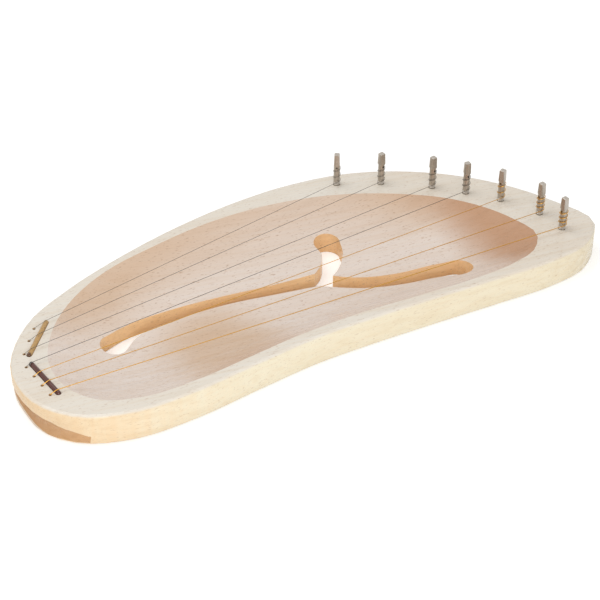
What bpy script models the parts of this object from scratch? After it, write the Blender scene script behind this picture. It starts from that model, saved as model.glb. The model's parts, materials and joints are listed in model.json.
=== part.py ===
"""A seven-string pentatonic lyre, carved from one piece of pale wood, in metres with +Z up.

It lies on its flat underside, centred on the origin: the narrow end with the two bridges points to -X, and the
wide end with the tuning pins to +X. Each tuning pin turns about its own upright axis and carries the wound end
of its string; every other piece stays with the body.
"""

import math

import bmesh
import bpy
import numpy as np

# Body
BODY_LENGTH = 0.4525
BODY_WIDTH = 0.2211
BODY_THICKNESS = 0.024
TOP_ROUNDING = 0.0025
FOOT_ROUNDING = 0.0015
DISH_DEPTH_NARROW = 0.0145
DISH_DEPTH_WIDE = 0.0115
DISH_CURVE = 1.8

# Finger groove, low in the side of the narrow end
GROOVE_RADIUS = 0.009
GROOVE_HEIGHT = 0.0070
GROOVE_DEPTH = 0.0060

# Tuning pins
PIN_RADIUS = 0.0025
PIN_EXPOSED = 0.0275
PIN_SUNK = 0.0160
PIN_TIP = 0.0008
HEAD_LENGTH = 0.0092
HEAD_SIDE_TOP = 0.0041
HEAD_SIDE_FOOT = 0.0046
HEAD_TAPER = 0.0010
HEAD_EDGE = 0.0003
EYE_RADIUS = 0.0009
EYE_BELOW_TOP = 0.0115

# Strings, first the short high one
STRING_DIAMETERS = (0.00030, 0.00033, 0.00036, 0.00040, 0.00050, 0.00055, 0.00060)
WINDING_TURNS = (2.38, 2.50, 2.50, 2.47, 2.31, 3.26, 3.27)
STRING_LIFT = 0.0034
STRING_HOLE_RADIUS = 0.0012
STRING_END_STANDS_OUT = 0.0012
WINDING_SPREAD = 1.1

# Ball ends, in counterbores under the body
BALL_RADIUS = 0.0020
BALL_LENGTH = 0.0034
BALL_EDGE = 0.0006
COUNTERBORE_DEPTH = 0.0055

# Bridges
BRIDGE_WIDTH = 0.0034
BRIDGE_RISE = 0.0018
BRIDGE_SEAT = 0.0015

# Fits
CLEARANCE = 0.0003
CUTTER_OVERRUN = 0.001

# Plan drawing, in millimetres as drawn; place() stretches it to the body's length and width
OUTLINE = (
    (-224.5, -45), (-215.5, -81), (-194, -101.5), (-158, -110), (-115, -104.5), (-65, -90.5), (-18, -78),
    (30, -70.3), (80, -64), (130, -58.3), (175, -52.2), (208.5, -40.5), (227.5, -15), (210.5, 20.5), (177, 60.5),
    (130, 92), (77, 109), (26, 109.5), (-26, 99.3), (-79.3, 81), (-123.5, 60.5), (-166.5, 35.7), (-202, 7.2),
)
DISH_EDGE = (
    (-198.5, -50), (-192, -73), (-175, -91), (-146, -97.5), (-108, -92.5), (-69, -82), (-29, -71), (18, -62.5),
    (66, -57.5), (111, -52.5), (147, -44.5), (167, -35), (178, -17), (169.5, 8), (138.5, 46), (100, 68),
    (50, 83.5), (0, 86.5), (-51, 79), (-97, 63.5), (-136, 46), (-171, 17), (-190, -12),
)
DISH_VALLEY = ((-138, -38), (98, -12))
# Each arm of the sound hole runs from the fork to its round lobe: x, y and half width
SOUND_HOLE_ARMS = {
    "left": (
        (10, -1, 7), (-20, -1.5, 5.4), (-63, -1.5, 4.6), (-102, -5.2, 5.6), (-137, -14.2, 7.2), (-149.3, -23.3, 9.8),
    ),
    "upper": ((10, -2, 6), (23.5, 11, 6.8), (30, 23.5, 8), (30.3, 36, 10)),
    "right": ((13, -3, 6.5), (33, -13, 6.3), (49, -18, 6.8), (69, -21.5, 7.8), (94, -22.5, 9.4), (110, -25.3, 11.8)),
}
STRING_HOLES = ((-200, -3), (-206, -15), (-212, -28), (-213.5, -42), (-210.5, -53), (-207.5, -64), (-204.5, -75))
PIN_PLACES = ((61, 96.5), (94, 86), (129.5, 67.5), (151, 51.5), (172, 33), (192, 6.5), (199, -17))
BRIDGES = {
    "bridge_treble": ((-190.7, 1.1), (-209, -30.2)),
    "bridge_bass": ((-209.5, -40), (-199.1, -75.3)),
}
TREBLE_STRINGS = 3
GROOVE_TIPS = ((-214, -2), (-184, -104.5))

# Fineness of the round shapes
LOOP_POINTS = 100
DISH_STEPS = (0.08, 0.2, 0.34, 0.49, 0.64, 0.79, 0.92)
TURN_POINTS = 24
PIN_SIDES = 20
HOLE_SIDES = 14
GROOVE_SIDES = 16
GROOVE_STATIONS = 28

# Colours, roughness and metallic value
FINISHES = {
    "pale_wood": ((0.80, 0.68, 0.52), 0.55, 0.0),
    "treble_bridge": ((0.62, 0.44, 0.24), 0.45, 0.0),
    "bass_bridge": ((0.10, 0.03, 0.02), 0.40, 0.0),
    "pin_steel": ((0.56, 0.54, 0.51), 0.30, 1.0),
    "string_steel": ((0.40, 0.38, 0.37), 0.30, 1.0),
    "string_bronze": ((0.72, 0.52, 0.22), 0.32, 1.0),
    "ball_brass": ((0.75, 0.58, 0.30), 0.30, 1.0),
}


def clear_scene():
    for old in list(bpy.data.objects):
        bpy.data.objects.remove(old, do_unlink=True)


def finish(name):
    """The Principled material of that name, made on first use."""
    material = bpy.data.materials.get(name)
    if material is None:
        colour, roughness, metallic = FINISHES[name]
        material = bpy.data.materials.new(name)
        material.use_nodes = True
        shader = material.node_tree.nodes["Principled BSDF"]
        shader.inputs["Base Color"].default_value = (*colour, 1.0)
        shader.inputs["Roughness"].default_value = roughness
        shader.inputs["Metallic"].default_value = metallic
    return material


def curve_through(points, per_span, closed):
    """Points on the smooth curve through the given ones, per_span steps on each span."""
    knots = np.array(points, float)
    if closed:
        knots = np.vstack([knots, knots[:1]])
    steps = np.linalg.norm(np.diff(knots[:, :2], axis=0), axis=1)[:, None]
    slopes = np.diff(knots, axis=0) / steps
    inner = (steps[1:] * slopes[:-1] + steps[:-1] * slopes[1:]) / (steps[1:] + steps[:-1])
    if closed:
        seam = (steps[0] * slopes[-1] + steps[-1] * slopes[0]) / (steps[0] + steps[-1])
        ends = [seam, seam]
    else:
        ends = [slopes[0], slopes[-1]]
    tangents = np.vstack([ends[0], inner, ends[1]])
    found = []
    for i, step in enumerate(steps):
        for t in np.arange(per_span) / per_span:
            found.append(
                knots[i] * (1 + 2 * t) * (1 - t) ** 2
                + knots[i + 1] * t * t * (3 - 2 * t)
                + step * (tangents[i] * t * (1 - t) ** 2 + tangents[i + 1] * t * t * (t - 1))
            )
    if not closed:
        found.append(knots[-1])
    return np.array(found)


def evenly(loop, count):
    """count points at equal distances round a closed loop of points."""
    ring = np.vstack([loop, loop[:1]])
    along = np.concatenate([[0], np.cumsum(np.linalg.norm(np.diff(ring, axis=0), axis=1))])
    wanted = np.arange(count) * along[-1] / count
    return np.c_[np.interp(wanted, along, ring[:, 0]), np.interp(wanted, along, ring[:, 1])]


def units(vectors):
    return vectors / np.linalg.norm(vectors, axis=-1, keepdims=True)


def outward(loop):
    """The outward normals of an anticlockwise loop in plan."""
    ahead = units(np.roll(loop, -1, 0) - np.roll(loop, 1, 0))
    return np.c_[ahead[:, 1], -ahead[:, 0]]


DRAWN = curve_through(OUTLINE, 24, closed=True)
DRAWN_LOW, DRAWN_HIGH = DRAWN.min(axis=0), DRAWN.max(axis=0)
STRETCH = np.array([BODY_LENGTH, BODY_WIDTH]) / (DRAWN_HIGH - DRAWN_LOW)


def place(point):
    """A point of the plan drawing, or many, on the real body in metres."""
    return (np.asarray(point, float) - (DRAWN_LOW + DRAWN_HIGH) / 2) * STRETCH


def ring_at(loop, z):
    """The loop's points in space, at one height or at a height each."""
    return np.c_[loop, np.broadcast_to(z, len(loop))]


def circle(centre, radius, count):
    angles = np.arange(count) * 2 * math.pi / count
    return np.asarray(centre) + radius * np.c_[np.cos(angles), np.sin(angles)]


def add_loft(mesh, rings):
    """One closed body through rings of equally many points, with a flat face on each end."""
    rows = [[mesh.verts.new(point) for point in ring] for ring in rings]
    for low, high in zip(rows, rows[1:]):
        for i in range(len(low)):
            j = (i + 1) % len(low)
            mesh.faces.new((low[i], low[j], high[j], high[i]))
    mesh.faces.new(rows[0][::-1])
    mesh.faces.new(rows[-1])


def object_of(name, bodies, material=None):
    """An object whose mesh holds one closed loft for each list of rings."""
    built = bmesh.new()
    for rings in bodies:
        add_loft(built, rings)
    bmesh.ops.recalc_face_normals(built, faces=built.faces)
    mesh = bpy.data.meshes.new(name)
    built.to_mesh(mesh)
    built.free()
    made = bpy.data.objects.new(name, mesh)
    bpy.context.scene.collection.objects.link(made)
    if material:
        mesh.materials.append(finish(material))
    return made


def smooth(made, degrees=35):
    made.data.shade_smooth()
    made.data.set_sharp_from_angle(angle=math.radians(degrees))


def cut(target, cutter):
    """Cuts the hidden cutter out of the target."""
    cutter.hide_render = True
    cutter.display_type = "WIRE"
    boolean = target.modifiers.new(cutter.name, "BOOLEAN")
    boolean.object = cutter
    boolean.operation = "DIFFERENCE"
    boolean.solver = "EXACT"


def stadium(ends, radius, cap_points=8):
    """A round-ended bar in plan, anticlockwise, from the centres of its two ends."""
    first, last = (np.asarray(end) for end in ends)
    heading = math.atan2(*(last - first)[::-1])
    half = np.linspace(-math.pi / 2, math.pi / 2, cap_points)
    caps = []
    for centre, turn in ((last, heading), (first, heading + math.pi)):
        caps.append(centre + radius * np.c_[np.cos(half + turn), np.sin(half + turn)])
    return np.vstack(caps)


# Body

def dish_rings():
    """Rings from the rim down to the valley of the dish."""
    edge = evenly(place(curve_through(DISH_EDGE, 24, closed=True)), LOOP_POINTS)
    narrow, wide = place(DISH_VALLEY)
    share = np.clip((edge[:, 0] - narrow[0]) / (wide[0] - narrow[0]), 0, 1)[:, None]
    valley = narrow + share * (wide - narrow)
    depth = DISH_DEPTH_NARROW + share[:, 0] * (DISH_DEPTH_WIDE - DISH_DEPTH_NARROW)
    rings = [ring_at(edge, BODY_THICKNESS)]
    for step in DISH_STEPS:
        drop = depth * (1 - (1 - step) ** DISH_CURVE)
        rings.append(ring_at(edge + step * (valley - edge), BODY_THICKNESS - drop))
    return rings


def body_rings():
    side = evenly(place(DRAWN), LOOP_POINTS)
    out = outward(side)
    rings = []
    for angle in (0, 45, 90):
        lean = math.radians(angle)
        inset = FOOT_ROUNDING * (1 - math.sin(lean))
        rings.append(ring_at(side - inset * out, FOOT_ROUNDING * (1 - math.cos(lean))))
    for angle in (0, 30, 60, 90):
        lean = math.radians(angle)
        inset = TOP_ROUNDING * (1 - math.cos(lean))
        rings.append(ring_at(side - inset * out, BODY_THICKNESS - TOP_ROUNDING * (1 - math.sin(lean))))
    return rings + dish_rings()


def arm_outline(arm):
    """The outline of one arm of the sound hole, round at both ends."""
    path = curve_through(arm, 5, closed=False)
    centre = place(path[:, :2])
    radius = path[:, 2:] * STRETCH.mean()
    ahead = units(np.gradient(centre, axis=0))
    left = np.c_[-ahead[:, 1], ahead[:, 0]] * radius
    half = np.linspace(-math.pi / 2, math.pi / 2, 12)[1:-1]
    caps = []
    for end, turn in ((-1, 0), (0, math.pi)):
        heading = half + math.atan2(ahead[end][1], ahead[end][0]) + turn
        caps.append(centre[end] + radius[end] * np.c_[np.cos(heading), np.sin(heading)])
    return np.vstack([centre - left, caps[0], (centre + left)[::-1], caps[1]])


def sound_hole_cutters():
    cutters = []
    for name, arm in SOUND_HOLE_ARMS.items():
        outline = arm_outline(arm)
        levels = (-CUTTER_OVERRUN, BODY_THICKNESS + CUTTER_OVERRUN)
        cutters.append(object_of(f"sound_hole_{name}", [[ring_at(outline, z) for z in levels]]))
    return cutters


def groove_cutter():
    """A round tube that bites deepest midway between the groove's tips and leaves the side at both of them."""
    side = evenly(place(DRAWN), 6 * LOOP_POINTS)
    out = outward(side)
    first, last = (int(np.argmin(np.linalg.norm(side - tip, axis=1))) for tip in place(GROOVE_TIPS))
    angles = np.arange(GROOVE_SIDES) * 2 * math.pi / GROOVE_SIDES
    rings = []
    for share in np.linspace(-0.06, 1.06, GROOVE_STATIONS):
        station = (first + round(share * ((last - first) % len(side)))) % len(side)
        wave = math.sin(math.pi * share)
        centre = side[station] + out[station] * (GROOVE_RADIUS - GROOVE_DEPTH * wave * abs(wave))
        flat = centre + GROOVE_RADIUS * np.cos(angles)[:, None] * out[station]
        rings.append(np.c_[flat, GROOVE_HEIGHT + GROOVE_RADIUS * np.sin(angles)])
    return object_of("finger_groove", [rings])


def string_hole_cutter():
    """Each string's narrow hole, with the counterbore that its ball end sits in."""
    wide = BALL_RADIUS + CLEARANCE
    profile = (
        (wide, -CUTTER_OVERRUN),
        (wide, COUNTERBORE_DEPTH),
        (STRING_HOLE_RADIUS, COUNTERBORE_DEPTH),
        (STRING_HOLE_RADIUS, BODY_THICKNESS + CUTTER_OVERRUN),
    )
    bodies = []
    for spot in place(STRING_HOLES):
        bodies.append([ring_at(circle(spot, radius, HOLE_SIDES), z) for radius, z in profile])
    return object_of("string_holes", bodies)


def pin_socket_cutter():
    levels = (BODY_THICKNESS - PIN_SUNK - CLEARANCE, BODY_THICKNESS + CUTTER_OVERRUN)
    bodies = []
    for spot in place(PIN_PLACES):
        bodies.append([ring_at(circle(spot, PIN_RADIUS + CLEARANCE, PIN_SIDES), z) for z in levels])
    return object_of("pin_sockets", bodies)


def bridge_seat_cutter():
    levels = (BODY_THICKNESS - BRIDGE_SEAT, BODY_THICKNESS + CUTTER_OVERRUN)
    bodies = []
    for ends in BRIDGES.values():
        outline = stadium(place(ends), BRIDGE_WIDTH / 2 + CLEARANCE)
        bodies.append([ring_at(outline, z) for z in levels])
    return object_of("bridge_seats", bodies)


def make_body():
    body = object_of("body", [body_rings()], "pale_wood")
    smooth(body)
    cutters = sound_hole_cutters()
    cutters += [groove_cutter(), string_hole_cutter(), pin_socket_cutter(), bridge_seat_cutter()]
    for cutter in cutters:
        cut(body, cutter)


# Bridges

def make_bridge(name, ends, material):
    """A round-ended bar with a half-round top, set into its seat."""
    radius = BRIDGE_WIDTH / 2
    spring = BODY_THICKNESS + BRIDGE_RISE - radius
    rings = [ring_at(stadium(place(ends), radius), BODY_THICKNESS - BRIDGE_SEAT + CLEARANCE)]
    for angle in (0, 25, 50, 72, 86):
        lean = math.radians(angle)
        outline = stadium(place(ends), radius * math.cos(lean))
        rings.append(ring_at(outline, spring + radius * math.sin(lean)))
    smooth(object_of(name, [rings], material))


# Tuning pins

def square(side, count):
    """A square ring, with its corners slightly eased, of count points."""
    angles = (np.arange(count) + 0.5) * 2 * math.pi / count
    reach = np.minimum(0.5 / np.maximum(np.abs(np.cos(angles)), np.abs(np.sin(angles))), 0.66)
    return side * reach[:, None] * np.c_[np.cos(angles), np.sin(angles)]


def round_ring(radius, count):
    angles = (np.arange(count) + 0.5) * 2 * math.pi / count
    return radius * np.c_[np.cos(angles), np.sin(angles)]


def pin_mesh():
    """A pin with its origin on its axis at the rim's level, and its eye along X."""
    foot = -PIN_SUNK
    head_foot = PIN_EXPOSED - HEAD_LENGTH
    rings = [
        ring_at(round_ring(PIN_RADIUS - PIN_TIP, PIN_SIDES), foot),
        ring_at(round_ring(PIN_RADIUS, PIN_SIDES), foot + PIN_TIP),
        ring_at(round_ring(PIN_RADIUS, PIN_SIDES), head_foot - HEAD_TAPER),
        ring_at(square(HEAD_SIDE_FOOT, PIN_SIDES), head_foot),
        ring_at(square(HEAD_SIDE_TOP, PIN_SIDES), PIN_EXPOSED - HEAD_EDGE),
        ring_at(square(HEAD_SIDE_TOP - 2 * HEAD_EDGE, PIN_SIDES), PIN_EXPOSED),
    ]
    blank = object_of("pin_blank", [rings], "pin_steel")
    reach = 2 * PIN_RADIUS
    eye = []
    for x in (-reach, reach):
        ring = circle((0, PIN_EXPOSED - EYE_BELOW_TOP), EYE_RADIUS, HOLE_SIDES)
        eye.append(np.c_[np.full(HOLE_SIDES, x), ring])
    eye_cutter = object_of("pin_eye", [eye])
    cut(blank, eye_cutter)
    bpy.context.view_layer.update()
    evaluated = blank.evaluated_get(bpy.context.evaluated_depsgraph_get())
    mesh = bpy.data.meshes.new_from_object(evaluated)
    mesh.name = "tuning_pin"
    mesh.shade_smooth()
    mesh.set_sharp_from_angle(angle=math.radians(35))
    for scratch in (blank, eye_cutter):
        bpy.data.objects.remove(scratch, do_unlink=True)
    return mesh


# Strings

def wire(name, points, diameter, material, parent=None):
    """A round wire along the points, with closed ends."""
    curve = bpy.data.curves.new(name, "CURVE")
    curve.dimensions = "3D"
    curve.bevel_depth = diameter / 2
    curve.bevel_resolution = 1
    curve.use_fill_caps = True
    spline = curve.splines.new("POLY")
    spline.points.add(len(points) - 1)
    for point, spot in zip(spline.points, points):
        point.co = (*spot, 1.0)
    curve.materials.append(finish(material))
    made = bpy.data.objects.new(name, curve)
    bpy.context.scene.collection.objects.link(made)
    made.parent = parent
    return made


def wound_radius(diameter):
    """From the pin's axis to the middle of the wire wound on it."""
    return PIN_RADIUS + CLEARANCE + diameter / 2


def string_plan(index):
    """Where the string leaves its hole, its direction in plan, and where it reaches the near side of its pin."""
    hole, pin = place(STRING_HOLES[index]), place(PIN_PLACES[index])
    ahead = units(pin - hole)
    side = np.array([ahead[1], -ahead[0]])
    touch = pin + side * wound_radius(STRING_DIAMETERS[index])
    return hole, units(touch - hole), touch


def crossing(point, ahead, ends):
    """How far along the line from point the middle of the bridge lies."""
    first, last = place(ends)
    bar = last - first
    gap = first - point
    return (gap[0] * bar[1] - gap[1] * bar[0]) / (ahead[0] * bar[1] - ahead[1] * bar[0])


def string_route(index, ends):
    """From the ball end up through the body, round the bridge's top and on to the pin."""
    diameter = STRING_DIAMETERS[index]
    hole, ahead, touch = string_plan(index)
    to_bar = crossing(hole, ahead, ends)
    bend = np.array([0, BODY_THICKNESS + CLEARANCE])
    bar = np.array([to_bar, BODY_THICKNESS + BRIDGE_RISE - BRIDGE_WIDTH / 2])
    radius = BRIDGE_WIDTH / 2 + CLEARANCE + diameter / 2
    back = bend - bar
    lift_off = math.atan2(back[1], back[0]) - math.acos(radius / np.linalg.norm(back))
    flat = [np.array([0, COUNTERBORE_DEPTH])]
    rise = units(bar + radius * np.array([math.cos(lift_off), math.sin(lift_off)]) - bend)
    corner = STRING_HOLE_RADIUS / 2
    for t in (0, 0.33, 0.67, 1):
        flat.append(bend + corner * (t * t * rise - (1 - t) ** 2 * np.array([0, 1])))
    for angle in np.linspace(lift_off, math.pi / 2, 4):
        flat.append(bar + radius * np.array([math.cos(angle), math.sin(angle)]))
    points = [(*(hole + s * ahead), z) for s, z in flat]
    return points + [(*touch, BODY_THICKNESS + STRING_LIFT)]


def winding_route(index):
    """The turns on a pin, anticlockwise from the string up to the eye, about the axis at the rim's level."""
    diameter = STRING_DIAMETERS[index]
    _, ahead, _ = string_plan(index)
    radius = wound_radius(diameter)
    start = math.atan2(-ahead[0], ahead[1])
    eye = start + 2 * math.pi * WINDING_TURNS[index]
    low = STRING_LIFT + diameter + CLEARANCE
    high = PIN_EXPOSED - EYE_BELOW_TOP
    lead = math.radians(30)
    count = round(TURN_POINTS * (WINDING_TURNS[index] - lead / (2 * math.pi)))
    first = radius * np.array([math.cos(start), math.sin(start)])
    points = [(*(first - diameter * ahead), low)]
    for k in range(count + 1):
        share = k / count
        angle = start + share * (eye - lead - start)
        points.append((radius * math.cos(angle), radius * math.sin(angle), low + (high - low) * share**WINDING_SPREAD))
    last = np.array(points[-1])
    onward = np.array([-math.sin(eye - lead), math.cos(eye - lead), 0])
    inward = -np.array([math.cos(eye), math.sin(eye), 0])
    mouth = np.array([0, 0, high]) - inward * (PIN_RADIUS - 2 * CLEARANCE)
    pull = 0.3 * radius
    corners = (last, last + pull * onward, mouth - pull * inward, mouth)
    for t in (0.25, 0.5, 0.75, 1):
        weights = ((1 - t) ** 3, 3 * t * (1 - t) ** 2, 3 * t * t * (1 - t), t**3)
        points.append(tuple(sum(w * np.asarray(c) for w, c in zip(weights, corners))))
    points.append(tuple(np.array([0, 0, high]) + inward * (PIN_RADIUS + STRING_END_STANDS_OUT)))
    return points, eye


def least_gap(points, diameter):
    """The winding's least gap to itself, between points at least half a turn apart."""
    spots = np.array(points)
    apart = np.linalg.norm(spots[:, None] - spots[None], axis=2)
    order = np.arange(len(spots))
    near = np.abs(order[:, None] - order[None]) < TURN_POINTS / 2
    return np.where(near, np.inf, apart).min() - diameter


def make_ball_end(name, spot, mesh):
    ball = bpy.data.objects.new(name, mesh)
    ball.location = (*spot, COUNTERBORE_DEPTH - CLEARANCE - BALL_LENGTH)
    bpy.context.scene.collection.objects.link(ball)


def ball_mesh():
    """A small turned drum with eased edges, standing on its origin."""
    profile = (
        (BALL_RADIUS - BALL_EDGE, 0),
        (BALL_RADIUS, BALL_EDGE),
        (BALL_RADIUS, BALL_LENGTH - BALL_EDGE),
        (BALL_RADIUS - BALL_EDGE, BALL_LENGTH),
    )
    scratch = object_of("ball_end", [[ring_at(circle((0, 0), r, HOLE_SIDES), z) for r, z in profile]], "ball_brass")
    mesh = scratch.data
    bpy.data.objects.remove(scratch, do_unlink=True)
    mesh.shade_smooth()
    mesh.set_sharp_from_angle(angle=math.radians(50))
    return mesh


def make_string_set(index, pin, ball):
    """One string: its ball end, its free stretch, its tuning pin and the turns on the pin."""
    number = index + 1
    material = "string_steel" if index < 4 else "string_bronze"
    diameter = STRING_DIAMETERS[index]
    bridge = "bridge_treble" if index < TREBLE_STRINGS else "bridge_bass"
    make_ball_end(f"ball_end_{number}", place(STRING_HOLES[index]), ball)
    wire(f"string_{number}", string_route(index, BRIDGES[bridge]), diameter, material)
    axis = bpy.data.objects.new(f"pin_axis_{number}", None)
    axis.location = (*place(PIN_PLACES[index]), BODY_THICKNESS)
    bpy.context.scene.collection.objects.link(axis)
    turns, eye = winding_route(index)
    post = bpy.data.objects.new(f"tuning_pin_{number}", pin)
    post.parent = axis
    post.rotation_euler = (0, 0, eye)
    bpy.context.scene.collection.objects.link(post)
    wire(f"winding_{number}", turns, diameter, material, axis)
    print(f"winding_{number}: least gap to itself {1000 * least_gap(turns, diameter):.2f} mm")


def main():
    clear_scene()
    make_body()
    make_bridge("bridge_treble", BRIDGES["bridge_treble"], "treble_bridge")
    make_bridge("bridge_bass", BRIDGES["bridge_bass"], "bass_bridge")
    pin, ball = pin_mesh(), ball_mesh()
    for index in range(len(PIN_PLACES)):
        make_string_set(index, pin, ball)


main()
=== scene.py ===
"""Dresses the seven-string pentatonic lyre: oiled pale wood, nickel tuning pins, plain and bronze strings.

The frame's solids are smoothed and finished. Each string is joined to the turns on its pin, and each pin
gets the fine thread that shows above the wood.
"""

import json
import math

import bmesh
import bpy
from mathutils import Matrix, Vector


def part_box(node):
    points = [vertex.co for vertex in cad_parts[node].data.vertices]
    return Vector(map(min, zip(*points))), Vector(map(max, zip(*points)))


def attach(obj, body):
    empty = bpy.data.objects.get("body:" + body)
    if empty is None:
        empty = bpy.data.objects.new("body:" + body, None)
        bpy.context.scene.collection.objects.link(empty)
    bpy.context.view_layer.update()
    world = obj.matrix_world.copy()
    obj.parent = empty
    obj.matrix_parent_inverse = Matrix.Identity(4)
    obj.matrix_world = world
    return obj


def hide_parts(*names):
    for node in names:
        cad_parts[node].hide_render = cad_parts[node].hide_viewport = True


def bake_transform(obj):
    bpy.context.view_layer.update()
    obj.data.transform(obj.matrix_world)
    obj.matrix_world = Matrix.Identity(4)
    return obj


bl_info = {
    "name": "Pentatonic Lyre",
    "version": (1, 0, 0),
    "blender": (4, 5, 0),
    "location": "3D View > Sidebar > Lyre",
    "description": "Builds the finished look of a seven-string pentatonic lyre around its solids",
    "category": "Add Mesh",
}

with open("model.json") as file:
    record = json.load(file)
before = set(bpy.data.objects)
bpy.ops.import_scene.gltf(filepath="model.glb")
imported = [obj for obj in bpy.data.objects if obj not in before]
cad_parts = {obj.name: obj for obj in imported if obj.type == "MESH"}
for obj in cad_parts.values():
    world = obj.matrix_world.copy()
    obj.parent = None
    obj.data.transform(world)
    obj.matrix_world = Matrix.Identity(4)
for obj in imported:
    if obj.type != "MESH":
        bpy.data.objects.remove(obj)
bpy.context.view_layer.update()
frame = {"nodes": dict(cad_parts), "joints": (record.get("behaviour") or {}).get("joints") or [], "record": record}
PINS = [joint["pos_m"] for joint in frame["joints"]]
STRING_COUNT = len(PINS)
OPENINGS = frame["record"]["physics"]["openings"]
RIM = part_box("body")[1].z

# Joining the frame's loose triangles, and the angle past which an edge stays sharp
WELD = 0.000001
CREASE = math.radians(38)
PIN_CREASE = math.radians(32)
THREAD_CREASE = math.radians(25)
WIRE_CREASE = math.radians(60)
BALL_CREASE = math.radians(45)

# Telling the body's woods and the painted shade of its finger groove apart: by place, and by how far a face's
# normal points up
RIM_WOOD, DISH_WOOD, WALL_WOOD, GROOVE_SHADE = range(4)
WALL_REACH = 0.009
GROOVE_TOP = 0.0162
GROOVE_END = -0.13
FOOT_EDGE = 0.0016
RIM_SLACK = 0.00005
DISH_MIDDLE = (-0.02, -0.02)
WALL_UP = 0.35
DISH_UP = 0.4
FLAT_UP = 0.995
RIM_UP = 0.9999
UNDERSIDE_UP = -0.98

# Where one tone of the wood fades into the next, and where painted shade and painted shadow fade in: the first and
# last value of what is named
TOP_TILT = (0.35, 0.9)
WARM_END = (-0.235, -0.07)
# Painted shade: the dish's slopes that face back and towards the wide end are coloured tan and brown, as if they
# faced away from the light
BACK_TILT = (0.10, 0.26)
WIDE_TILT = (0.06, 0.20)
# Painted shade: centre of the darker patch at the front of the dish, and the distances over which it fades out
SHADE_PATCH_CENTRE = (-0.082, -0.052, 0.012)
SHADE_PATCH_REACH = (0.012, 0.058)
# Painted shadow at one end of a bridge bar: how far it reaches
BRIDGE_END_SHADOW = 0.0042

# The pins' thread
PIN_RADIUS = 0.0025
THREAD_LIFT = 0.0002
THREAD_ROOT = 0.0001
THREAD_SHARE = 0.42
THREAD_STEPS = 28

# Where a string's end and the start of its turns lie, and the rings cut into it beside its pin
STEEL_STRINGS = 4
END_REACH = 0.0012
TURNS_REACH = 0.0009
FIRST_SLICE = 0.00008
FIRST_CUT = 0.0035
CUT_STEP = 0.0015
CUTS = 7

# The studio: a lamp is its name, place, size and power
SENSOR = 36.0
FLOOR_SIZE = 12.0
FLOOR_DROP = 0.0002
FLOOR_GLOW = 0.42
LAMPS = (
    ("key_lamp", (-0.5, 0.5, 1.6), 1.2, 9.0),
    ("fill_lamp", (-0.3, -1.45, 0.5), 1.0, 10.0),
)


def linear(*screen):
    """A colour given as 0 to 255 on the screen, in the renderer's linear values."""
    shares = [value / 255 for value in screen]
    return tuple(c / 12.92 if c <= 0.04045 else ((c + 0.055) / 1.055) ** 2.4 for c in shares)


def colour(name, description, default):
    return bpy.props.FloatVectorProperty(
        name=name, description=description, subtype="COLOR", size=3, min=0, max=1, default=default
    )


PORE_TONE = linear(176, 138, 104)


class LyreWood(bpy.types.PropertyGroup):
    """Colours and grain of the woods, with painted shade on the dish's slopes, at its front and in the finger
    groove
    """

    rim: colour("Rim", "Flat top of the rim", linear(239, 231, 218))
    side: colour("Side", "Outer side, towards the pins", linear(246, 236, 210))
    side_end: colour("Side at the narrow end", "Warmer end grain", linear(246, 218, 178))
    floor: colour("Dish floor", "Level part of the dish", linear(238, 224, 213))
    # Painted shade on the dish's back slope, which faces away from the light
    slope: colour("Back slope", "Slope of the dish at the back", linear(220, 190, 162))
    # Painted shade on the dish's slope at the wide end, the darkest, facing away from the light
    wide_slope: colour("Wide slope", "Slope of the dish at the wide end", linear(200, 156, 122))
    # Painted shade: the darker patch at the front of the dish, shade in its recess
    shade: colour("Dish figure", "Darker figure at the front of the dish", linear(218, 186, 154))
    wall: colour("Sound hole wall", "Wall of the sound hole", linear(252, 216, 168))
    # Painted shade: the finger groove under the narrow end is coloured darker, as if the overhang shaded it
    groove: colour("Finger groove", "Groove under the narrow end", linear(212, 168, 122))
    grain_lines: bpy.props.FloatProperty(
        name="Grain lines", description="Grain lines in a metre across the plank",
        min=50, max=1500, default=420,
    )


class LyreMetal(bpy.types.PropertyGroup):
    """Colours of the metals and the pins' thread"""

    nickel: colour("Nickel", "Tuning pins", linear(186, 178, 168))
    steel: colour("Steel", "Strings 1 to 4", linear(104, 98, 92))
    bronze: colour("Bronze", "Strings 5 to 7", linear(206, 154, 66))
    brass: colour("Brass", "Ball ends", linear(210, 176, 110))
    thread_pitch: bpy.props.FloatProperty(
        name="Thread pitch", description="Rise of the pin's fine thread in a turn",
        unit="LENGTH", default=0.0006,
    )
    thread_height: bpy.props.FloatProperty(
        name="Thread height", description="Length of the thread above the wood", unit="LENGTH", default=0.0026
    )
    thread_depth: bpy.props.FloatProperty(
        name="Thread depth", description="How far the thread stands out", unit="LENGTH", default=0.00018
    )


class LyreStage(bpy.types.PropertyGroup):
    """Camera and light"""

    look_at: bpy.props.FloatVectorProperty(
        name="Look at", description="Point at the picture's centre", subtype="XYZ", size=3,
        default=(-0.0178, -0.0345, 0.024),
    )
    distance: bpy.props.FloatProperty(
        name="Distance", description="Camera to that point", unit="LENGTH", default=1.102
    )
    azimuth: bpy.props.FloatProperty(
        name="Azimuth", description="Camera's bearing round the lyre",
        subtype="ANGLE", default=math.radians(-19.7),
    )
    elevation: bpy.props.FloatProperty(
        name="Elevation", description="Camera's height angle", subtype="ANGLE", default=math.radians(37.5)
    )
    lens: bpy.props.FloatProperty(name="Lens", description="Focal length in millimetres", default=93.5)
    ambient: bpy.props.FloatProperty(
        name="Ambient", description="Strength of the light all round", default=0.55
    )


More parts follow.
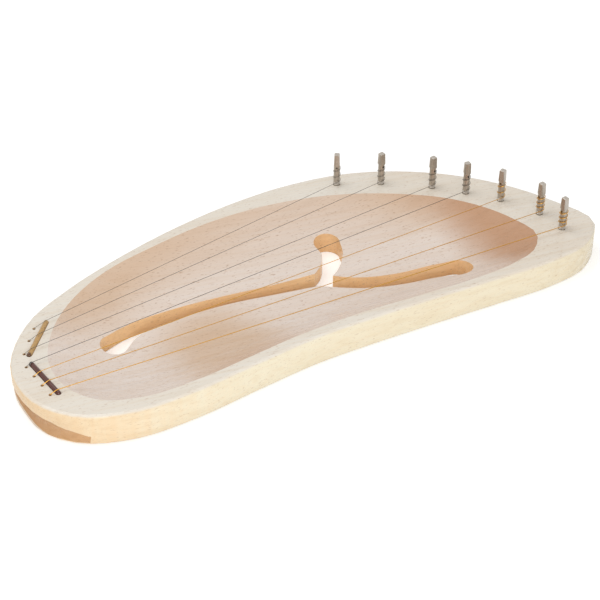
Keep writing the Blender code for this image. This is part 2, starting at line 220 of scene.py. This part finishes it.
class Nodes:
    """A node tree under construction, with short calls for the nodes that the finishes use."""

    def __init__(self, tree):
        self.tree = tree

    def add(self, kind, values=(), **settings):
        node = self.tree.nodes.new(kind)
        for name, value in settings.items():
            setattr(node, name, value)
        for key, value in dict(values).items():
            self.feed(node.inputs[key], value)
        return node

    def feed(self, socket, value):
        if isinstance(value, bpy.types.NodeSocket):
            self.tree.links.new(value, socket)
        else:
            socket.default_value = value

    def sums(self, operation, first, second=0.0):
        return self.add("ShaderNodeMath", {0: first, 1: second}, operation=operation).outputs[0]

    def fade(self, value, low, high, most=1.0):
        """0 at low, rising smoothly to most at high."""
        values = {"Value": value, "From Min": low, "From Max": high, "To Max": most}
        return self.add("ShaderNodeMapRange", values, interpolation_type="SMOOTHSTEP").outputs[0]

    def blend(self, share, first, second, kind="MIX"):
        node = self.add("ShaderNodeMix", data_type="RGBA", blend_type=kind)
        for socket, value in zip((node.inputs[0], node.inputs[6], node.inputs[7]), (share, first, second)):
            self.feed(socket, value)
        return node.outputs[2]

    def stretched(self, vector, scale):
        return self.add("ShaderNodeMapping", {"Vector": vector, "Scale": scale}).outputs[0]

    def noise(self, vector, scale, detail=3.0):
        return self.add("ShaderNodeTexNoise", {"Vector": vector, "Scale": scale, "Detail": detail}).outputs[0]


def opaque(value):
    return (*value, 1.0)


def grain_group():
    """Shared by all the woods: fine lines along the plank, broad figure, pores and their height."""
    group = bpy.data.node_groups.get("plank_grain")
    if group:
        return group
    group = bpy.data.node_groups.new("plank_grain", "ShaderNodeTree")
    group.interface.new_socket("Place", in_out="INPUT", socket_type="NodeSocketVector")
    group.interface.new_socket("Lines", in_out="INPUT", socket_type="NodeSocketFloat")
    for name in ("Grain", "Figure", "Pores", "Height"):
        group.interface.new_socket(name, in_out="OUTPUT", socket_type="NodeSocketFloat")
    n = Nodes(group)
    source = n.add("NodeGroupInput")
    place, lines = source.outputs["Place"], source.outputs["Lines"]
    long = n.stretched(place, (0.03, 1.0, 1.0))
    fine = n.noise(long, lines, 4.0)
    broad = n.noise(n.stretched(place, (0.25, 1.0, 1.0)), 22.0, 3.0)
    pores = n.fade(n.noise(n.stretched(place, (0.22, 1.0, 1.0)), 1400.0, 1.0), 0.62, 0.74)
    height = n.sums("SUBTRACT", fine, n.sums("MULTIPLY", pores, 0.6))
    values = {"Grain": fine, "Figure": broad, "Pores": pores, "Height": height}
    n.add("NodeGroupOutput", values)
    return group


def new_material(name):
    material = bpy.data.materials.new(name)
    material.use_nodes = True
    return material, Nodes(material.node_tree), material.node_tree.nodes["Principled BSDF"]


def grained(n, wood, base, shader, deep=0.86, pore=0.35):
    """The base colour with the plank's grain, figure and pores, and the grain's relief."""
    place = n.add("ShaderNodeTexCoord").outputs["Object"]
    grain = n.add("ShaderNodeGroup", node_tree=grain_group())
    n.feed(grain.inputs["Place"], place)
    n.feed(grain.inputs["Lines"], wood.grain_lines)
    line = n.fade(grain.outputs["Grain"], 0.38, 0.66, 0.55)
    lined = n.blend(line, base, (deep + 0.05, deep, deep - 0.06, 1.0), "MULTIPLY")
    cloud = n.fade(grain.outputs["Figure"], 0.42, 0.68, 0.7)
    figured = n.blend(cloud, lined, (0.97, 0.935, 0.90, 1.0), "MULTIPLY")
    pores = n.sums("MULTIPLY", grain.outputs["Pores"], pore)
    speckled = n.blend(pores, figured, opaque(PORE_TONE))
    n.feed(shader.inputs["Base Color"], speckled)
    n.feed(shader.inputs["Roughness"], n.fade(grain.outputs["Grain"], 0.2, 0.8, 0.62))
    shader.inputs["Specular IOR Level"].default_value = 0.3
    values = {"Height": grain.outputs["Height"], "Strength": 0.12, "Distance": 0.0002}
    n.feed(shader.inputs["Normal"], n.add("ShaderNodeBump", values).outputs[0])


def rim_wood(wood):
    """Rim and outer side: pinkish cream on top, yellow cream on the side, warmer end grain with a flame."""
    material, n, shader = new_material("rim_wood")
    coordinates = n.add("ShaderNodeTexCoord")
    x = n.add("ShaderNodeSeparateXYZ", {0: coordinates.outputs["Object"]}).outputs[0]
    up = n.add("ShaderNodeSeparateXYZ", {0: coordinates.outputs["Normal"]}).outputs[2]
    flame = n.noise(n.stretched(coordinates.outputs["Object"], (1.0, 1.0, 0.04)), 160.0, 2.0)
    warm = n.sums("SUBTRACT", x, n.sums("MULTIPLY", n.sums("SUBTRACT", flame, 0.5), 0.10))
    at_end = n.sums("SUBTRACT", 1.0, n.fade(warm, *WARM_END))
    side = n.blend(at_end, opaque(wood.side), opaque(wood.side_end))
    base = n.blend(n.fade(up, *TOP_TILT), side, opaque(wood.rim))
    grained(n, wood, base, shader)
    return material


def dish_wood(wood):
    """The dish: pale floor, painted tan shade on the slopes at the back and the wide end, and a darker painted
    shade patch at the front.
    """
    material, n, shader = new_material("dish_wood")
    coordinates = n.add("ShaderNodeTexCoord")
    place = coordinates.outputs["Object"]
    facing = n.add("ShaderNodeSeparateXYZ", {0: coordinates.outputs["Normal"]})
    # Painted shade: how far a face turns back and towards the wide end sets the tan and brown shade on the slopes
    back = n.fade(n.sums("MULTIPLY", facing.outputs[1], -1.0), *BACK_TILT)
    wide = n.fade(n.sums("MULTIPLY", facing.outputs[0], -1.0), *WIDE_TILT)
    cloud = n.noise(n.stretched(place, (0.4, 1.0, 1.0)), 18.0, 3.0)
    # Painted shade: a ragged darker patch round a point at the front of the dish
    away = n.add("ShaderNodeVectorMath", {0: place, 1: SHADE_PATCH_CENTRE}, operation="DISTANCE")
    ragged = n.sums("MULTIPLY", n.sums("SUBTRACT", cloud, 0.5), 0.06)
    drift = n.sums("ADD", away.outputs["Value"], ragged)
    front_shade = n.sums("SUBTRACT", 1.0, n.fade(drift, *SHADE_PATCH_REACH))
    base = n.blend(n.sums("MULTIPLY", front_shade, 0.8), opaque(wood.floor), opaque(wood.shade))
    base = n.blend(n.sums("MULTIPLY", back, 0.9), base, opaque(wood.slope))
    base = n.blend(n.sums("MULTIPLY", wide, 0.95), base, opaque(wood.wide_slope))
    grained(n, wood, base, shader, pore=0.6)
    return material


def plain_wood(name, wood, tone):
    material, n, shader = new_material(name)
    grained(n, wood, opaque(tone), shader, deep=0.80, pore=0.5)
    return material


def bar_material(name, tone, dark, end_shadow_tone, end, reach):
    """A bridge bar's wood: dark specks along it and a painted shadow at one end, where the gap between the bar and
    its slot is shaded.
    """
    material, n, shader = new_material(name)
    place = n.add("ShaderNodeTexCoord").outputs["Object"]
    specks = n.fade(n.noise(place, 900.0, 3.0), 0.54, 0.72, 0.8)
    base = n.blend(specks, opaque(tone), opaque(dark))
    away = n.add("ShaderNodeVectorMath", {0: place, 1: end}, operation="DISTANCE").outputs["Value"]
    # Painted shadow at the bar's end, fading out within the reach
    end_shadow = n.sums("SUBTRACT", 1.0, n.fade(away, reach * 0.6, reach))
    n.feed(shader.inputs["Base Color"], n.blend(end_shadow, base, opaque(end_shadow_tone)))
    n.feed(shader.inputs["Roughness"], n.fade(specks, 0.0, 1.0, 0.55))
    values = {"Height": specks, "Strength": 0.2, "Distance": 0.0001}
    n.feed(shader.inputs["Normal"], n.add("ShaderNodeBump", values).outputs[0])
    return material


def metal(name, tone, low, high, stretch, scale):
    """A drawn or turned metal, whose fine marks change its roughness and tone."""
    material, n, shader = new_material(name)
    place = n.add("ShaderNodeTexCoord").outputs["Object"]
    marks = n.noise(n.stretched(place, stretch), scale, 3.0)
    shader.inputs["Metallic"].default_value = 1.0
    dull = tuple(0.72 * c for c in tone)
    n.feed(shader.inputs["Base Color"], n.blend(n.fade(marks, 0.4, 0.75, 0.6), opaque(tone), opaque(dull)))
    values = {"Value": marks, "To Min": low, "To Max": high}
    n.feed(shader.inputs["Roughness"], n.add("ShaderNodeMapRange", values).outputs[0])
    values = {"Height": marks, "Strength": 0.08, "Distance": 0.00005}
    n.feed(shader.inputs["Normal"], n.add("ShaderNodeBump", values).outputs[0])
    return material


def welded(*nodes):
    """The CAD nodes' triangles in one bmesh, with their doubled points merged."""
    built = bmesh.new()
    for node in nodes:
        built.from_mesh(frame["nodes"][node].data)
    bmesh.ops.remove_doubles(built, verts=built.verts, dist=WELD)
    bmesh.ops.dissolve_degenerate(built, edges=built.edges, dist=WELD)
    return built


def piece_of(built, name, materials, crease=CREASE):
    """A finished object of the mesh, smooth but for its creases."""
    for edge in built.edges:
        edge.smooth = edge.smooth and not (edge.is_manifold and edge.calc_face_angle(0) > crease)
    for face in built.faces:
        face.smooth = True
    mesh = bpy.data.meshes.new(name)
    built.to_mesh(mesh)
    built.free()
    if "custom_normal" in mesh.attributes:
        mesh.attributes.remove(mesh.attributes["custom_normal"])
    for material in materials:
        mesh.materials.append(material)
    made = bpy.data.objects.new(name, mesh)
    bpy.context.scene.collection.objects.link(made)
    return made


def in_sound_hole(point):
    for opening in OPENINGS:
        if opening["name"].startswith("sound_hole"):
            low, high = opening["box_m"]
            if all(low[k] - WALL_REACH < point[k] < high[k] + WALL_REACH for k in (0, 1)):
                return True
    return False


def wood_kind(face):
    """Which of the woods a face of the body shows, the finger groove's faces taking its painted shade."""
    middle, normal = face.calc_center_median(), face.normal
    highest = max(v.co.z for v in face.verts)
    if abs(normal.z) < WALL_UP and in_sound_hole(middle):
        return WALL_WOOD
    inward = normal.x * (middle.x - DISH_MIDDLE[0]) + normal.y * (middle.y - DISH_MIDDLE[1]) < 0
    below_rim = normal.z > DISH_UP and middle.z < RIM - RIM_SLACK
    if below_rim and (inward or in_sound_hole(middle) or normal.z > FLAT_UP):
        return DISH_WOOD
    low = highest < GROOVE_TOP and middle.z > FOOT_EDGE
    if low and middle.x < GROOVE_END and normal.z > UNDERSIDE_UP:
        return GROOVE_SHADE
    return RIM_WOOD


def on_rim(face):
    return face.normal.z > RIM_UP and face.calc_center_median().z > RIM - RIM_SLACK


class LYRE_OT_body(bpy.types.Operator):
    """Smooths and finishes the carved plank"""

    bl_idname = "lyre.body"
    bl_label = "Body"

    def execute(self, context):
        wood = context.scene.lyre_wood
        built = welded("body")
        built.normal_update()
        for face in built.faces:
            face.material_index = wood_kind(face)
        for edge in built.edges:
            if len(edge.link_faces) == 2:
                first, second = edge.link_faces
                edge.smooth = on_rim(first) == on_rim(second)
        walls = plain_wood("wall_wood", wood, wood.wall)
        # Painted shade for the finger groove's faces
        groove = plain_wood("groove_painted_shade", wood, wood.groove)
        body = piece_of(built, "carved_body", (rim_wood(wood), dish_wood(wood), walls, groove))
        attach(body, "lyre_body")
        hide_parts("body")
        return {"FINISHED"}


class LYRE_OT_bridges(bpy.types.Operator):
    """Finishes the golden bridge and the dark bridge, two bars of one material; the treble bar's pale gold is a
    painted reflection
    """

    bl_idname = "lyre.bridges"
    bl_label = "Bridges"

    def execute(self, context):
        # Painted reflection: the treble bar's pale gold stands for bright surroundings reflected in a bar of the
        # same material as the dark bass bar. Each list's last tone is the painted shadow at a bar's end.
        golden = (linear(196, 156, 96), linear(120, 82, 44), linear(96, 62, 34))
        rosy = (linear(92, 46, 36), linear(40, 18, 14), linear(22, 12, 10))
        for node, slot, tones, shadow_behind in (
            ("bridge_treble", "treble_bridge", golden, False),
            ("bridge_bass", "bass_bridge", rosy, True),
        ):
            low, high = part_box(node)
            # The end of the bar that gets the painted shadow
            end = (low.x, high.y if shadow_behind else low.y, high.z)
            material = bar_material(f"{node}_wood", *tones, end, BRIDGE_END_SHADOW)
            bar = piece_of(welded(node), f"{node}_bar", (material,))
            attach(bar, "lyre_body")
            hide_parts(node)
        return {"FINISHED"}


def add_thread(built, centre, radius, settings):
    """A fine thread: a small peak spun up round the pin, its ends closed."""
    low, root = RIM + THREAD_LIFT, radius - THREAD_ROOT
    half = settings.thread_pitch * THREAD_SHARE
    corners = ((root, low), (radius + settings.thread_depth, low + half), (root, low + 2 * half))
    spots = [built.verts.new((centre.x + r, centre.y, z)) for r, z in corners]
    ring = [built.edges.new((spots[i], spots[(i + 1) % 3])) for i in range(3)]
    turns = settings.thread_height / settings.thread_pitch
    steps = round(turns * THREAD_STEPS)
    bmesh.ops.spin(
        built, geom=spots + ring, cent=centre, axis=(0, 0, 1), dvec=(0, 0, settings.thread_height / steps),
        angle=turns * 2 * math.pi, steps=steps, use_merge=False,
    )
    opened = [edge for edge in built.edges if edge.is_boundary]
    bmesh.ops.holes_fill(built, edges=opened, sides=3)
    bmesh.ops.recalc_face_normals(built, faces=built.faces)


class LYRE_OT_pins(bpy.types.Operator):
    """Finishes the tuning pins and cuts their fine thread"""

    bl_idname = "lyre.pins"
    bl_label = "Tuning pins"

    def execute(self, context):
        settings = context.scene.lyre_metal
        nickel = metal("satin_nickel", settings.nickel, 0.24, 0.42, (1.0, 1.0, 0.15), 2600.0)
        for number, spot in enumerate(PINS, start=1):
            node = f"tuning_pin_{number}"
            pin = piece_of(welded(node), f"nickel_pin_{number}", (nickel,), PIN_CREASE)
            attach(pin, f"pin_{number}")
            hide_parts(node)
            built = bmesh.new()
            add_thread(built, Vector((spot[0], spot[1], 0)), PIN_RADIUS, settings)
            thread = piece_of(built, f"pin_thread_{number}", (nickel,), THREAD_CREASE)
            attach(thread, f"pin_{number}")
        return {"FINISHED"}


def near(points, spot, reach):
    return [point for point in points if (point - spot).length < reach]


def mean(points):
    return sum(points, Vector()) / len(points)


def ends_of(number):
    """The centres of the string's end and of its turns' first ring, and the string's direction in plan."""
    axis = Vector(PINS[number - 1])
    run = [v.co for v in frame["nodes"][f"string_{number}"].data.vertices]
    turns = [v.co for v in frame["nodes"][f"winding_{number}"].data.vertices]
    closest = min(run, key=lambda point: (point - axis).xy.length)
    farthest = max(run, key=lambda point: (point - axis).xy.length)
    middle = mean(near(run, closest, END_REACH))
    ahead = (middle - farthest).xy.normalized()
    lowest = min(turns, key=lambda point: (point.z, point.xy @ ahead))
    start = min(near(turns, lowest, TURNS_REACH), key=lambda point: point.xy @ ahead)
    first = [p for p in near(turns, start, TURNS_REACH) if abs((p.xy - start.xy) @ ahead) < FIRST_SLICE]
    return middle, mean(first), ahead


class LYRE_OT_strings(bpy.types.Operator):
    """Joins each string to its turns in one piece, with rings cut into it beside its pin"""

    bl_idname = "lyre.strings"
    bl_label = "Strings"

    def execute(self, context):
        settings = context.scene.lyre_metal
        steel = metal("drawn_steel", settings.steel, 0.22, 0.36, (0.2, 1.0, 1.0), 3000.0)
        bronze = metal("wound_bronze", settings.bronze, 0.26, 0.42, (1.0, 0.4, 0.4), 3600.0)
        for number, pin in enumerate(PINS, start=1):
            middle, first, ahead = ends_of(number)
            along = Vector((ahead.x, ahead.y, 0))
            built = welded(f"string_{number}")
            for vert in built.verts:
                if (vert.co - middle).length < END_REACH:
                    vert.co += first - middle
            for k in range(CUTS):
                whole = built.verts[:] + built.edges[:] + built.faces[:]
                spot = first - (FIRST_CUT + k * CUT_STEP) * along
                bmesh.ops.bisect_plane(built, geom=whole, plane_co=spot, plane_no=along)
            built.from_mesh(frame["nodes"][f"winding_{number}"].data)
            bmesh.ops.remove_doubles(built, verts=built.verts, dist=WELD)
            plain = number <= STEEL_STRINGS
            wire = piece_of(built, f"wound_string_{number}", (steel if plain else bronze,), WIRE_CREASE)
            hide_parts(f"string_{number}", f"winding_{number}")
            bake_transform(wire)
        return {"FINISHED"}


class LYRE_OT_ball_ends(bpy.types.Operator):
    """Finishes the brass ball ends under the body"""

    bl_idname = "lyre.ball_ends"
    bl_label = "Ball ends"

    def execute(self, context):
        brass = metal("turned_brass", context.scene.lyre_metal.brass, 0.24, 0.40, (1.0, 1.0, 0.2), 2200.0)
        for number in range(1, STRING_COUNT + 1):
            ball = piece_of(welded(f"ball_end_{number}"), f"brass_ball_{number}", (brass,), BALL_CREASE)
            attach(ball, "lyre_body")
            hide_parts(f"ball_end_{number}")
        return {"FINISHED"}


def aim(thing, target):
    thing.rotation_euler = (Vector(target) - thing.location).to_track_quat("-Z", "Y").to_euler()


def add_lamp(name, location, size, power, target):
    light = bpy.data.lights.new(name, "AREA")
    light.shape, light.size, light.energy = "SQUARE", size, power
    lamp = bpy.data.objects.new(name, light)
    lamp.location = location
    aim(lamp, target)
    bpy.context.scene.collection.objects.link(lamp)


def seen_rays(n):
    """1 for what the camera sees, straight or in a reflection."""
    rays = n.add("ShaderNodeLightPath")
    seen = n.sums("MAXIMUM", rays.outputs["Is Camera Ray"], rays.outputs["Is Glossy Ray"])
    return n.sums("MAXIMUM", seen, rays.outputs["Is Transmission Ray"])


class LYRE_OT_stage(bpy.types.Operator):
    """Sets the floor, the light and the camera"""

    bl_idname = "lyre.stage"
    bl_label = "Stage"

    def execute(self, context):
        scene, stage = context.scene, context.scene.lyre_stage
        scene.view_settings.view_transform = "Standard"
        built = bmesh.new()
        bmesh.ops.create_grid(built, x_segments=1, y_segments=1, size=FLOOR_SIZE)
        bmesh.ops.translate(built, verts=built.verts, vec=(0, 0, -FLOOR_DROP))
        material, n, shader = new_material("pale_floor")
        shader.inputs["Base Color"].default_value = (0.86, 0.85, 0.84, 1.0)
        shader.inputs["Roughness"].default_value = 0.9
        shader.inputs["Specular IOR Level"].default_value = 0.0
        shader.inputs["Emission Color"].default_value = (1.0, 1.0, 1.0, 1.0)
        n.feed(shader.inputs["Emission Strength"], n.sums("MULTIPLY", seen_rays(n), FLOOR_GLOW))
        floor = piece_of(built, "studio_floor", (material,))
        world = bpy.data.worlds.new("studio")
        world.use_nodes = True
        scene.world = world
        w = Nodes(world.node_tree)
        background = world.node_tree.nodes["Background"]
        background.inputs["Color"].default_value = (1.0, 1.0, 1.0, 1.0)
        extra = w.sums("MULTIPLY", seen_rays(w), 1.0 - stage.ambient)
        w.feed(background.inputs["Strength"], w.sums("ADD", extra, stage.ambient))
        target = stage.look_at
        for lamp in LAMPS:
            add_lamp(*lamp, target)
        camera = bpy.data.objects.new("camera", bpy.data.cameras.new("camera"))
        turn, level = stage.azimuth, math.cos(stage.elevation)
        away = Vector((math.sin(turn) * level, -math.cos(turn) * level, math.sin(stage.elevation)))
        camera.location = Vector(target) + stage.distance * away
        camera.data.sensor_width, camera.data.lens = SENSOR, stage.lens
        aim(camera, target)
        scene.collection.objects.link(camera)
        scene.camera = camera
        return {"FINISHED"}


class LYRE_PT_panel(bpy.types.Panel):
    """Lists the pieces and their settings"""

    bl_idname = "LYRE_PT_panel"
    bl_label = "Lyre"
    bl_space_type = "VIEW_3D"
    bl_region_type = "UI"
    bl_category = "Lyre"

    def draw(self, context):
        for name in OPERATORS:
            self.layout.operator(f"lyre.{name}")
        for settings in (context.scene.lyre_wood, context.scene.lyre_metal, context.scene.lyre_stage):
            for name in settings.__annotations__:
                self.layout.prop(settings, name)


OPERATORS = ("body", "bridges", "pins", "strings", "ball_ends", "stage")
CLASSES = (
    LyreWood, LyreMetal, LyreStage, LYRE_OT_body, LYRE_OT_bridges, LYRE_OT_pins, LYRE_OT_strings,
    LYRE_OT_ball_ends, LYRE_OT_stage, LYRE_PT_panel,
)


def register():
    for kind in CLASSES:
        bpy.utils.register_class(kind)
    bpy.types.Scene.lyre_wood = bpy.props.PointerProperty(type=LyreWood)
    bpy.types.Scene.lyre_metal = bpy.props.PointerProperty(type=LyreMetal)
    bpy.types.Scene.lyre_stage = bpy.props.PointerProperty(type=LyreStage)


def unregister():
    del bpy.types.Scene.lyre_stage
    del bpy.types.Scene.lyre_metal
    del bpy.types.Scene.lyre_wood
    for kind in reversed(CLASSES):
        bpy.utils.unregister_class(kind)


def main():
    register()
    for name in OPERATORS:
        getattr(bpy.ops.lyre, name)()


if __name__ == "__main__":
    main()
